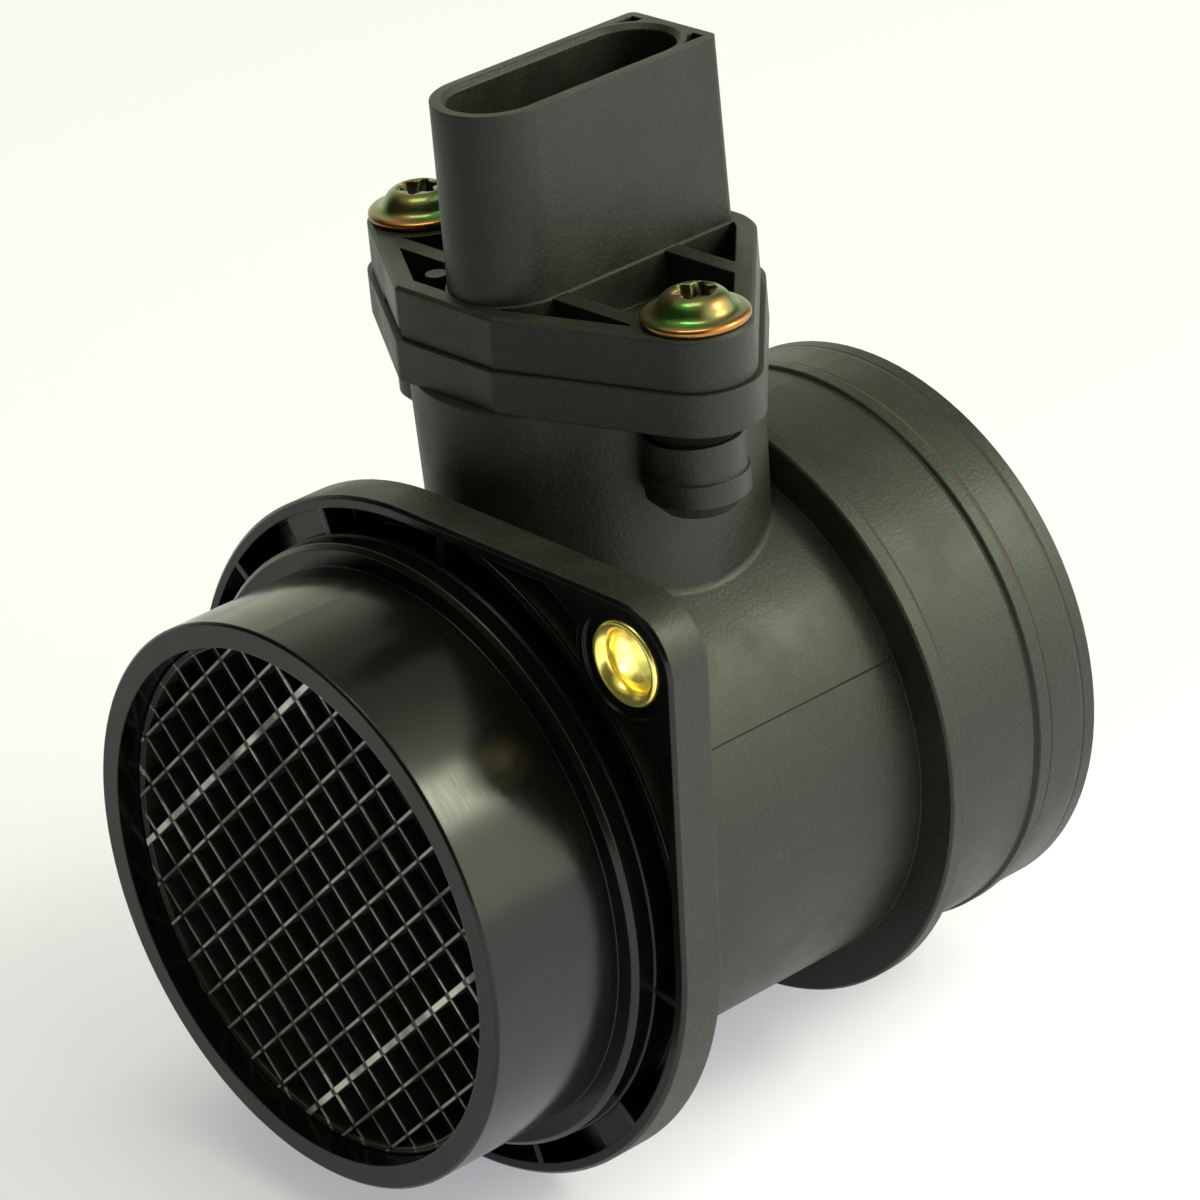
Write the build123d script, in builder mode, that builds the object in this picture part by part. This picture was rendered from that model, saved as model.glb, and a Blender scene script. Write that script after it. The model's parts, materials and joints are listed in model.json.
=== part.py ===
"""Mass airflow sensor in its duct piece, in millimetres.

Frame: the origin lies on the duct's axis, in the front plane of the mounting
flange. Air flows along +Y, so the inlet is at -Y and the hose end at +Y. The
sensor is plugged in from above, with its connector opening towards +Z.

The pieces are the duct moulding, the flow grid in its inlet, two metal sleeves
in its flange, the plug-in sensor with its seal, contacts and inner pieces, and
two washer-head screws.
"""

import os
from math import cos, radians, sin

from build123d import *

# Inlet spigot, the duct bore behind it and the ring at its root
inlet_r = 35.0
inlet_wall = 3.0
inlet_length = 21.2
inlet_edge = 0.3
bore_inset = 4.0
root_ring_step = 2.7
root_ring_length = 3.0
root_ring_edge = 0.6

# Flow grid: the rising bars run at the grid angle above +X
grid_setback = 3.1
grid_angle = 42.0
rising_pitch = 4.69
falling_pitch = 4.55
bars_each_side = 6
strong_bar = 4
rising_width = 0.5
falling_width = 0.4
strong_rising_width = 0.9
strong_falling_width = 0.55
grid_depth = 2.4
grid_gap = 0.05

# Mounting flange, cored from the front
flange_thickness = 6.0
flange_arc_step = 4.9
flange_corner_r = 7.6
bolt_reach = 7.7
bolt_angle = 42.5
flange_edge = 0.4
core_depth = 4.0
rim_wall = 1.5
hub_step = 0.2
arc_wall_reach = 0.6
arc_wall = 1.0
corner_web_inset = 2.8
bolt_web_r = 7.5
rib_width = 0.9
rib_first_angle = 79.5
rib_step_angle = 30.0
ribs_per_side = 4
pad_depth = 1.2
pad_angle = 13.0
upper_pad_angle = 109.5
lower_pad_angle = -53.5

# Metal sleeves in the flange corners
bush_r = 5.15
bush_hole_r = 3.5
bush_edge = 0.3
bush_gap = 0.05
sink_r = 6.5
sink_depth = 0.35

# Body, rear collar and hose spigot
body_wall = 2.9
collar_start = 46.8
collar_length = 4.8
collar_rim = 2.2
collar_step = 5.1
collar_edge = 0.3
hose_step = 2.2
hose_wall = 3.0
hose_end = 75.0
hose_edge = 0.6
bead_start = 64.2
bead_width = 2.4
bead_height = 0.4

# Neck that carries the sensor
neck_y = 30.5
neck_top_r = 20.6
neck_draft = 1.5
neck_foot = 0.9
neck_wall = 3.6
neck_flange_bottom = 50.6
mating_z = 56.8
neck_flange_margin = 0.6

# Sensor flange
sensor_top_z = 63.2
sensor_flange_edge = 0.4
screw_reach = 4.6
screw_near_y = 25.6
screw_far_y = 28.8
screw_boss_r = 6.5
flange_near_y = 11.9
flange_far_y = 51.0
near_corner_left = -10.2
near_corner_right = 5.6
near_corner_r = 1.2
far_corner_left = -8.0
far_corner_right = 6.0
far_corner_r = 7.0
top_pocket_depth = 5.0
top_rim = 2.4
top_boss_r = 7.4
top_rib = 2.3
top_rib_near_y = 21.2
top_rib_far_y = 38.6
shell_web = 0.4
pry_height = 1.2
pry_reach = 1.6
locator_x = -9.3
locator_y = 17.3
locator_r = 1.3

# Connector shell
shell_z = 85.9
shell_half = 7.2
shell_near_y = 13.4
shell_far_y = 48.8
shell_corner_r = 1.0
shell_wall = 1.8
shell_draft = 0.45
socket_depth = 19.9
socket_lead = 0.6
corner_wall = 1.2
corner_depth = 16.0

# Contact blades
blade_pitch = 4.6
blade_count = 5
blade_wide = 1.5
blade_thick = 0.64
blade_length = 14.0
blade_seat = 3.0
blade_gap = 0.03
blade_tip = 0.2

# Screws, and the bosses below them on the neck
screw_r = 2.5
screw_length = 16.0
screw_tip = 0.6
screw_flange_gap = 0.3
screw_thread_gap = 0.05
screw_hole_spare = 2.0
washer_r = 6.3
washer_thick = 1.2
washer_edge = 0.4
washer_cone = 0.5
head_foot_r = 4.8
head_r = 4.1
head_height = 2.5
head_edge = 1.2
drive_waist_r = 1.75
drive_lobe_r = 0.6
drive_lobe_place_r = 1.65
drive_lobes = 6
drive_depth = 2.2
boss_inset = 2.0
boss_gap_z = 49.2
boss_gap_r = 5.0
boss_upper_r = 5.8
boss_step_z = 44.7
boss_lower_r = 6.1
boss_bottom_z = 40.0
boss_bottom_edge = 1.9

# Stem, seal and probe
stem_gap = 0.1
stem_bottom_z = 33.0
seal_z = 45.0
seal_section_r = 1.5
seal_sides = 8
seal_gap = 0.05
seal_side_gap = 0.3
probe_inset = 2.9
probe_width = 12.0
probe_bottom_z = -8.0
probe_nose_r = 5.0
probe_tail_r = 2.0

# Inner pieces of the probe
floor_wall = 4.0
side_wall = 4.0
cavity_top_z = 29.5
cavity_bottom_z = 14.0
channel_top_z = 8.0
channel_bottom_z = 1.0
channel_end_wall = 5.0
exit_length = 5.5
cover_thick = 1.5
cover_margin = 1.5
cover_gap = 0.1
plate_thick = 0.8
plate_gap = 0.2
tongue_width = 6.0
tongue_below = 5.0
board_thick = 0.7
board_margin = 1.0
chip_wide = 2.6
chip_long = 4.0
chip_thick = 0.5
bead_r = 1.1
bead_length = 2.6
bead_edge = 0.5
lead_r = 0.25
lead_length = 3.0
lead_spacing = 1.0
thermistor_inset = 7.5
thermistor_z = 11.0

# Places that follow from the sizes above
inlet_end = -inlet_length
bore_r = inlet_r - bore_inset
body_r = bore_r + body_wall
collar_r = body_r + collar_step
hose_r = body_r + hose_step
root_ring_r = inlet_r + root_ring_step
flange_arc_r = root_ring_r + flange_arc_step
arc_wall_r = flange_arc_r + arc_wall_reach
bolt_circle_r = flange_arc_r + bolt_reach
corner_web_r = bolt_circle_r - corner_web_inset
bolt_x = bolt_circle_r * cos(radians(bolt_angle))
bolt_z = bolt_circle_r * sin(radians(bolt_angle))
grid_front_y = inlet_end + grid_setback
grid_seat_y = grid_front_y + grid_depth
counterbore_r = inlet_r - inlet_wall
collar_end = collar_start + collar_length
hose_bore_r = hose_r - hose_wall
hub_r = root_ring_r + hub_step
bolt_places = [(bolt_x, bolt_z), (-bolt_x, -bolt_z)]
screw_x = neck_top_r + screw_reach
screw_places = [(screw_x, screw_near_y), (-screw_x, screw_far_y)]
boss_x = screw_x - boss_inset
boss_places = [(boss_x, screw_near_y), (-boss_x, screw_far_y)]
shell_mid_y = (shell_near_y + shell_far_y) / 2
socket_half = shell_half - shell_wall
socket_floor_z = shell_z - socket_depth
blade_top_z = socket_floor_z + blade_length
neck_bore_r = neck_top_r - neck_wall
stem_r = neck_bore_r - stem_gap
seal_ring_r = neck_bore_r - seal_gap - seal_section_r
seal_groove_r = seal_ring_r - seal_section_r - seal_gap
seal_half = seal_section_r + seal_side_gap
blade_places = [
    (0, shell_mid_y + (step - (blade_count - 1) / 2) * blade_pitch)
    for step in range(blade_count)
]
probe_near_y = neck_y - stem_r + probe_inset
probe_far_y = neck_y + stem_r - probe_inset
probe_side = probe_width / 2
thermistor_y = probe_near_y + thermistor_inset
floor_x = floor_wall - probe_side
cover_seat_x = probe_side - cover_thick
cavity_near_y = probe_near_y + side_wall
cavity_far_y = probe_far_y - side_wall
channel_end_y = probe_far_y - channel_end_wall
cover_near_y = cavity_near_y - cover_margin
cover_far_y = cavity_far_y + cover_margin
outward = 1.0

flange_front = Plane.XZ
probe_floor = Plane(origin=(floor_x, 0, 0), x_dir=(0, 1, 0), z_dir=(1, 0, 0))
probe_cover_seat = Plane(origin=(cover_seat_x, 0, 0), x_dir=(0, 1, 0), z_dir=(1, 0, 0))


def flange_outline(margin):
    """Outline of the mounting flange: a hull round the duct and both bolts."""
    with BuildSketch(mode=Mode.PRIVATE) as outline:
        Circle(flange_arc_r + margin)
        with Locations(*bolt_places):
            Circle(flange_corner_r + margin)
        make_hull()
    return outline.sketch


def sensor_outline(margin):
    """Outline of the sensor's flange: a hull round both screws and four corners."""
    rounds = [
        (near_corner_left, flange_near_y + near_corner_r, near_corner_r),
        (near_corner_right, flange_near_y + near_corner_r, near_corner_r),
        (far_corner_left, flange_far_y - far_corner_r, far_corner_r),
        (far_corner_right, flange_far_y - far_corner_r, far_corner_r),
    ]
    rounds += [(x, y, screw_boss_r) for x, y in screw_places]
    with BuildSketch(mode=Mode.PRIVATE) as outline:
        for x, y, radius in rounds:
            with Locations((x, y)):
                Circle(radius + margin)
        make_hull()
    return outline.sketch


def shell_outline(growth):
    """Section of the connector shell: round at its -Y end, square at +Y."""
    half = shell_half + growth
    near = shell_near_y - growth
    far = shell_far_y + growth
    with BuildSketch(mode=Mode.PRIVATE) as outline:
        with Locations((0, (near + half + far) / 2)):
            Rectangle(2 * half, far - near - half)
        fillet(outline.vertices().group_by(Axis.Y)[-1], radius=shell_corner_r)
        with Locations((0, near + half)):
            Circle(half)
    return outline.sketch


def socket_outline(growth):
    """Section of the socket: a slot with two round ends."""
    half = socket_half + growth
    near = shell_near_y + shell_wall - growth
    far = shell_far_y - shell_wall + growth
    with BuildSketch(mode=Mode.PRIVATE) as outline:
        with Locations((0, (near + far) / 2)):
            SlotOverall(far - near, 2 * half, rotation=90)
    return outline.sketch


def flange_sector(start, sweep_angle):
    """Sector that fills the cored ring, rooted in the root ring and the rim."""
    with BuildSketch(mode=Mode.PRIVATE) as piece:
        with BuildLine():
            far_arc = CenterArc((0, 0), flange_arc_r - rim_wall / 2, start, sweep_angle)
            near_arc = CenterArc((0, 0), (body_r + hub_r) / 2, start, sweep_angle)
            Line(far_arc @ 0, near_arc @ 0)
            Line(far_arc @ 1, near_arc @ 1)
        make_face()
    return piece.sketch


def closed_profile(points):
    """Closed outline through points, for the turned forms."""
    with BuildSketch(mode=Mode.PRIVATE) as outline:
        with BuildLine():
            Polyline(*points, close=True)
        make_face()
    return outline.sketch


def span(first, second):
    """Middle and length of the stretch between two values."""
    return (first + second) / 2, second - first


def upright_rectangle(u_range, v_range):
    """Rectangle between two values each way, for pockets and plates."""
    u, width = span(*u_range)
    v, height = span(*v_range)
    with BuildSketch(mode=Mode.PRIVATE) as outline:
        with Locations((u, v)):
            Rectangle(width, height)
    return outline.sketch


def cover_outline(bottom_z, top_z, gap):
    """Outline of a cover's seat over a hollow, or of the cover with its gap."""
    return upright_rectangle(
        (cover_near_y + gap, cover_far_y - gap),
        (bottom_z - cover_margin + gap, top_z + cover_margin - gap),
    )


def corner_pockets():
    """Two small pockets between the square corners and the round socket end."""
    reach = shell_half - corner_wall
    far = shell_far_y - corner_wall
    round_y = shell_far_y - shell_wall - socket_half
    with BuildSketch(mode=Mode.PRIVATE) as outline:
        with Locations((0, (round_y + far) / 2)):
            Rectangle(2 * reach, far - round_y)
        with Locations((0, round_y)):
            Circle(socket_half + corner_wall, mode=Mode.SUBTRACT)
        Rectangle(
            2 * (shell_half - shell_wall - corner_wall),
            2 * shell_far_y,
            mode=Mode.SUBTRACT,
        )
    return outline.sketch


def pry_notch():
    """Strip along the slanted near left edge of the sensor's flange."""
    with BuildSketch(mode=Mode.PRIVATE) as outline:
        add(sensor_outline(outward))
        offset(sensor_outline(0), amount=-pry_reach, mode=Mode.SUBTRACT)
        with Locations((near_corner_left - screw_x / 4, flange_near_y)):
            Rectangle(screw_x / 2, screw_x / 2, mode=Mode.INTERSECT)
    return outline.sketch


# Mounting flange by itself: outline, cored pockets, pads and bolt holes
with BuildPart() as flange:
    with BuildSketch(flange_front):
        add(flange_outline(0))
    extrude(amount=-flange_thickness)
    chamfer(flange.faces().filter_by(Axis.Y).edges(), length=flange_edge)

    with BuildSketch(flange_front):
        add(flange_outline(-rim_wall))
        Circle(corner_web_r, mode=Mode.INTERSECT)
        Circle(hub_r, mode=Mode.SUBTRACT)
        with Locations(*bolt_places):
            Circle(bolt_web_r, mode=Mode.SUBTRACT)
        with BuildSketch(mode=Mode.PRIVATE) as arc_walls:
            Circle(arc_wall_r)
            Circle(arc_wall_r - arc_wall, mode=Mode.SUBTRACT)
        add(arc_walls.sketch, mode=Mode.SUBTRACT)
        for side in (0, 180):
            for rib in range(ribs_per_side):
                angle = rib_first_angle + side + rib * rib_step_angle
                with PolarLocations((body_r + flange_arc_r) / 2, 1, start_angle=angle):
                    Rectangle(flange_arc_r - body_r, rib_width, mode=Mode.SUBTRACT)
    extrude(amount=-core_depth, mode=Mode.SUBTRACT)

    with BuildSketch(flange_front.offset(-pad_depth)):
        for pad_start in (upper_pad_angle, lower_pad_angle):
            add(flange_sector(pad_start, pad_angle))
    extrude(amount=pad_depth - (core_depth + flange_thickness) / 2)

    with BuildSketch(flange_front):
        with Locations(*bolt_places):
            Circle(sink_r)
    extrude(amount=-sink_depth, mode=Mode.SUBTRACT)
    with BuildSketch(flange_front):
        with Locations(*bolt_places):
            Circle(bush_r + bush_gap)
    extrude(amount=-flange_thickness, mode=Mode.SUBTRACT)

# Duct moulding: body with its neck, flange, turned forms, bosses, then the bores
with BuildPart() as tube_housing:
    with BuildSketch(flange_front.offset(-flange_edge)):
        Circle(body_r)
    extrude(amount=flange_edge - hose_end + hose_edge)
    with BuildSketch(Plane.XY.offset(neck_flange_bottom)):
        with Locations((0, neck_y)):
            Circle(neck_top_r)
    extrude(amount=-neck_flange_bottom, taper=neck_draft)
    neck_feet = (
        tube_housing.edges()
        .filter_by_position(Axis.Z, 0, neck_flange_bottom - outward)
        .filter_by(GeomType.BSPLINE)
    )
    fillet(neck_feet, radius=neck_foot)

    add(flange.part)
    with BuildSketch(Plane.YZ):
        add(
            closed_profile(
                [
                    (inlet_end, 0),
                    (inlet_end, inlet_r - inlet_edge),
                    (inlet_end + inlet_edge, inlet_r),
                    (-root_ring_length, inlet_r),
                    (-root_ring_length, root_ring_r - root_ring_edge),
                    (root_ring_edge - root_ring_length, root_ring_r),
                    (flange_thickness - flange_edge, root_ring_r),
                    (flange_thickness - flange_edge, bore_r),
                    (collar_start, bore_r),
                    (collar_start, collar_r - collar_edge),
                    (collar_start + collar_edge, collar_r),
                    (collar_start + collar_rim, collar_r),
                    (collar_end, hose_r),
                    (bead_start, hose_r),
                    (bead_start + bead_height, hose_r + bead_height),
                    (bead_start + bead_width - bead_height, hose_r + bead_height),
                    (bead_start + bead_width, hose_r),
                    (hose_end - hose_edge, hose_r),
                    (hose_end, hose_r - hose_edge),
                    (hose_end, 0),
                ]
            )
        )
    revolve(axis=Axis.Y)

    for x, y in boss_places:
        with BuildSketch(Plane.XZ.offset(-y)):
            add(
                closed_profile(
                    [
                        (x, neck_flange_bottom),
                        (x + boss_gap_r, neck_flange_bottom),
                        (x + boss_gap_r, boss_gap_z),
                        (x + boss_upper_r, boss_gap_z),
                        (x + boss_upper_r, boss_step_z),
                        (x + boss_lower_r, boss_step_z),
                        (x + boss_lower_r, boss_bottom_z + boss_bottom_edge),
                        (x + boss_lower_r - boss_bottom_edge, boss_bottom_z),
                        (x, boss_bottom_z),
                    ]
                )
            )
        revolve(axis=Axis((x, y, 0), (0, 0, 1)))

    with BuildSketch(Plane.XY.offset(neck_flange_bottom)):
        add(sensor_outline(neck_flange_margin))
    extrude(amount=mating_z - neck_flange_bottom)

    with BuildSketch(Plane.XY.offset(mating_z)):
        with Locations((0, neck_y)):
            Circle(neck_bore_r)
    extrude(amount=bore_r / 2 - mating_z, mode=Mode.SUBTRACT)
    with BuildSketch(Plane.YZ):
        add(
            closed_profile(
                [
                    (inlet_end, 0),
                    (inlet_end, counterbore_r),
                    (grid_seat_y, counterbore_r),
                    (grid_seat_y, bore_r),
                    (collar_start, bore_r),
                    (collar_end, hose_bore_r),
                    (hose_end, hose_bore_r),
                    (hose_end, 0),
                ]
            )
        )
    revolve(axis=Axis.Y, mode=Mode.SUBTRACT)

    with BuildSketch(Plane.XY.offset(mating_z)):
        with Locations(*screw_places):
            Circle(screw_r + screw_thread_gap)
    extrude(amount=sensor_top_z - mating_z - screw_length - screw_hole_spare, mode=Mode.SUBTRACT)

# Flow grid: bars both ways inside a rim that sits in the inlet
with BuildPart() as flow_grid:
    with BuildSketch(flange_front.offset(-grid_front_y)):
        for step in range(-bars_each_side, bars_each_side + 1):
            strong = abs(step) == strong_bar
            rising = strong_rising_width if strong else rising_width
            falling = strong_falling_width if strong else falling_width
            with Locations(Rotation(0, 0, grid_angle) * Location((0, step * rising_pitch))):
                Rectangle(2 * counterbore_r, rising)
            with Locations(Rotation(0, 0, grid_angle) * Location((step * falling_pitch, 0))):
                Rectangle(falling, 2 * counterbore_r)
        Circle((bore_r + counterbore_r) / 2, mode=Mode.INTERSECT)
        with BuildSketch(mode=Mode.PRIVATE) as rim:
            Circle(counterbore_r - grid_gap)
            Circle(bore_r, mode=Mode.SUBTRACT)
        add(rim.sketch)
    extrude(amount=-grid_depth)

# Metal sleeve for a mounting bolt
bushes = {}
for name, (x, z) in zip(("bush_upper", "bush_lower"), bolt_places):
    with BuildPart() as bush:
        with BuildSketch(Plane.XY):
            add(
                closed_profile(
                    [
                        (bush_hole_r, 0),
                        (bush_r - bush_edge, 0),
                        (bush_r, bush_edge),
                        (bush_r, flange_thickness),
                        (bush_hole_r, flange_thickness),
                    ]
                )
            )
        revolve(axis=Axis.Y)
    bushes[name] = Pos(x, 0, z) * bush.part

# Plug-in sensor: flange, connector shell, stem and probe in one moulding
with BuildPart() as sensor_body:
    with BuildSketch(Plane.XY.offset(mating_z)):
        add(sensor_outline(0))
    extrude(amount=sensor_top_z - mating_z)
    chamfer(sensor_body.faces().sort_by(Axis.Z)[-1].edges(), length=sensor_flange_edge)

    with BuildSketch(Plane.XY.offset(sensor_top_z)):
        offset(sensor_outline(0), amount=-top_rim)
        add(shell_outline(shell_web), mode=Mode.SUBTRACT)
        with Locations(*screw_places):
            Circle(top_boss_r, mode=Mode.SUBTRACT)
        for rib_y in (top_rib_near_y, top_rib_far_y):
            with Locations((0, rib_y)):
                Rectangle(2 * screw_x, top_rib, mode=Mode.SUBTRACT)
        with Locations((locator_x, locator_y)):
            Circle(locator_r, mode=Mode.SUBTRACT)
    extrude(amount=-top_pocket_depth, mode=Mode.SUBTRACT)

    with BuildSketch(Plane.XY.offset(shell_z)):
        add(shell_outline(0))
    extrude(amount=mating_z - shell_z, taper=-shell_draft)

    with BuildSketch(Plane.XY.offset(mating_z)):
        with Locations((0, neck_y)):
            Circle(stem_r)
    extrude(amount=stem_bottom_z - mating_z)
    with BuildSketch(Plane.XY.offset(stem_bottom_z)) as probe_section:
        with Locations((0, neck_y)):
            Rectangle(probe_width, probe_far_y - probe_near_y)
        fillet(probe_section.vertices().group_by(Axis.Y)[0], radius=probe_nose_r)
        fillet(probe_section.vertices().group_by(Axis.Y)[-1], radius=probe_tail_r)
    extrude(amount=probe_bottom_z - stem_bottom_z)

    with BuildSketch(Plane.YZ):
        add(
            upright_rectangle(
                (neck_y + seal_groove_r, neck_y + neck_bore_r + outward),
                (seal_z - seal_half, seal_z + seal_half),
            )
        )
    revolve(axis=Axis((0, neck_y, 0), (0, 0, 1)), mode=Mode.SUBTRACT)

    with BuildSketch(Plane.XY.offset(shell_z)):
        add(socket_outline(0))
    extrude(amount=socket_floor_z - shell_z, mode=Mode.SUBTRACT)
    with BuildSketch(Plane.XY.offset(shell_z)):
        add(socket_outline(socket_lead))
    extrude(amount=-socket_lead, taper=45, mode=Mode.SUBTRACT)
    with BuildSketch(Plane.XY.offset(shell_z)):
        add(corner_pockets())
    extrude(amount=-corner_depth, mode=Mode.SUBTRACT)
    with BuildSketch(Plane.XY.offset(socket_floor_z)):
        with Locations(*blade_places):
            Rectangle(blade_thick + 2 * blade_gap, blade_wide + 2 * blade_gap)
    extrude(amount=-blade_seat, mode=Mode.SUBTRACT)
    with BuildSketch(Plane.XY.offset(mating_z)):
        with Locations(*screw_places):
            Circle(screw_r + screw_flange_gap)
    extrude(amount=sensor_top_z - mating_z, mode=Mode.SUBTRACT)
    with BuildSketch(Plane.XY.offset(mating_z + pry_height)):
        add(pry_notch())
    extrude(amount=-pry_height, mode=Mode.SUBTRACT)

    with BuildSketch(probe_floor):
        add(upright_rectangle((cavity_near_y, cavity_far_y), (cavity_bottom_z, cavity_top_z)))
    extrude(amount=probe_side - floor_x, mode=Mode.SUBTRACT)
    with BuildSketch(probe_floor):
        add(
            upright_rectangle(
                (probe_near_y - outward, channel_end_y), (channel_bottom_z, channel_top_z)
            )
        )
        add(
            upright_rectangle(
                (channel_end_y - exit_length, channel_end_y),
                (probe_bottom_z - outward, channel_top_z),
            )
        )
    extrude(amount=cover_seat_x - floor_x, mode=Mode.SUBTRACT)
    with BuildSketch(probe_floor):
        add(
            upright_rectangle(
                (neck_y - tongue_width / 2 - plate_gap, neck_y + tongue_width / 2 + plate_gap),
                (channel_top_z - outward, cavity_bottom_z + outward),
            )
        )
    extrude(amount=plate_thick + chip_thick + plate_gap, mode=Mode.SUBTRACT)
    with BuildSketch(probe_cover_seat):
        add(cover_outline(cavity_bottom_z, cavity_top_z, 0))
        add(cover_outline(channel_bottom_z, channel_top_z, 0))
    extrude(amount=cover_thick, mode=Mode.SUBTRACT)

# Seal ring in the stem's groove
with BuildPart() as sensor_o_ring:
    with BuildSketch(Plane.YZ):
        with Locations((neck_y + seal_ring_r, seal_z)):
            RegularPolygon(
                seal_section_r, seal_sides, major_radius=False, rotation=180 / seal_sides
            )
    revolve(axis=Axis((0, neck_y, 0), (0, 0, 1)))

# Contact blades in a row along the socket
blades = {}
for number, place in enumerate(blade_places, start=1):
    with BuildPart() as blade:
        with BuildSketch(Plane.XY.offset(socket_floor_z - blade_seat)):
            with Locations(place):
                Rectangle(blade_thick, blade_wide)
        extrude(amount=blade_top_z - socket_floor_z + blade_seat)
        chamfer(blade.faces().sort_by(Axis.Z)[-1].edges(), length=blade_tip)
    blades[f"terminal_{number}"] = blade.part

# Washer-head screw with a six-lobe drive, standing on its seat
with BuildPart() as screw:
    with BuildSketch(Plane.XZ):
        add(
            closed_profile(
                [
                    (0, -screw_length),
                    (screw_r - screw_tip, -screw_length),
                    (screw_r, -screw_length + screw_tip),
                    (screw_r, 0),
                    (washer_r, 0),
                    (washer_r, washer_thick - washer_edge),
                    (washer_r - washer_edge, washer_thick),
                    (head_foot_r, washer_thick + washer_cone),
                    (head_r, washer_thick + head_height - head_edge),
                    (head_r - head_edge, washer_thick + head_height),
                    (0, washer_thick + head_height),
                ]
            )
        )
    revolve(axis=Axis.Z)
    with BuildSketch(Plane.XY.offset(washer_thick + head_height)):
        Circle(drive_waist_r)
        with PolarLocations(drive_lobe_place_r, drive_lobes):
            Circle(drive_lobe_r)
    extrude(amount=-drive_depth, mode=Mode.SUBTRACT)

screws = {
    name: Pos(x, y, sensor_top_z) * screw.part
    for name, (x, y) in zip(("screw_near", "screw_far"), screw_places)
}

# Metal plate with its tongue in the channel, the circuit on it and the chip
with BuildPart() as carrier_plate:
    with BuildSketch(probe_floor):
        add(
            upright_rectangle(
                (cavity_near_y + plate_gap, cavity_far_y - plate_gap),
                (cavity_bottom_z + plate_gap, cavity_top_z - plate_gap),
            )
        )
        add(
            upright_rectangle(
                (neck_y - tongue_width / 2, neck_y + tongue_width / 2),
                (channel_top_z - tongue_below, cavity_bottom_z + plate_gap),
            )
        )
    extrude(amount=plate_thick)

with BuildPart() as circuit_board:
    with BuildSketch(probe_floor.offset(plate_thick)):
        add(
            upright_rectangle(
                (cavity_near_y + board_margin, cavity_far_y - board_margin),
                (cavity_bottom_z + board_margin, cavity_top_z - board_margin),
            )
        )
    extrude(amount=board_thick)

with BuildPart() as sensing_chip:
    with BuildSketch(probe_floor.offset(plate_thick)):
        with Locations((neck_y, (channel_bottom_z + channel_top_z) / 2)):
            Rectangle(chip_wide, chip_long)
    extrude(amount=chip_thick)

covers = {}
for name, bottom_z, top_z in (
    ("electronics_cover", cavity_bottom_z, cavity_top_z),
    ("channel_cover", channel_bottom_z, channel_top_z),
):
    with BuildPart() as cover:
        with BuildSketch(probe_cover_seat):
            add(cover_outline(bottom_z, top_z, cover_gap))
        extrude(amount=cover_thick)
    covers[name] = cover.part

# Intake air temperature bead on two leads beside the probe
lead_end_x = -probe_side - lead_length
with BuildPart() as thermistor_bead:
    with BuildSketch(Plane.YZ.offset(lead_end_x)):
        with Locations((thermistor_y, thermistor_z)):
            Circle(bead_r)
    extrude(amount=-bead_length)
    chamfer(thermistor_bead.faces().sort_by(Axis.X)[0].edges(), length=bead_edge)

leads = {}
for number, side in enumerate((-1, 1), start=1):
    with BuildPart() as lead:
        with BuildSketch(Plane.YZ.offset(-probe_side)):
            with Locations((thermistor_y + side * lead_spacing / 2, thermistor_z)):
                Circle(lead_r)
        extrude(amount=-lead_length)
    leads[f"thermistor_lead_{number}"] = lead.part

pieces = {
    "tube_housing": tube_housing.part,
    "flow_grid": flow_grid.part,
    **bushes,
    **screws,
    "sensor_body": sensor_body.part,
    "sensor_o_ring": sensor_o_ring.part,
    **blades,
    "carrier_plate": carrier_plate.part,
    "circuit_board": circuit_board.part,
    **covers,
    "sensing_chip": sensing_chip.part,
    "thermistor_bead": thermistor_bead.part,
    **leads,
}
os.makedirs("parts", exist_ok=True)
for name, piece in pieces.items():
    piece.label = name
    export_step(piece, f"parts/{name}.step")
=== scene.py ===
# %% [markdown]
# # Mass airflow sensor
# This scene dresses a mass airflow sensor: a black moulded duct piece with a
# gridded inlet, a cored flange with two yellow sleeves, and a sensor that is
# screwed onto a neck on top. The solids come from the frame, at their real
# size in metres. The camera comes first, because each finish is judged from
# the photograph's own angle.

# %% Load the frame
import json
import math

import bmesh
import bpy
from mathutils import Matrix, Quaternion, Vector


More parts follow.
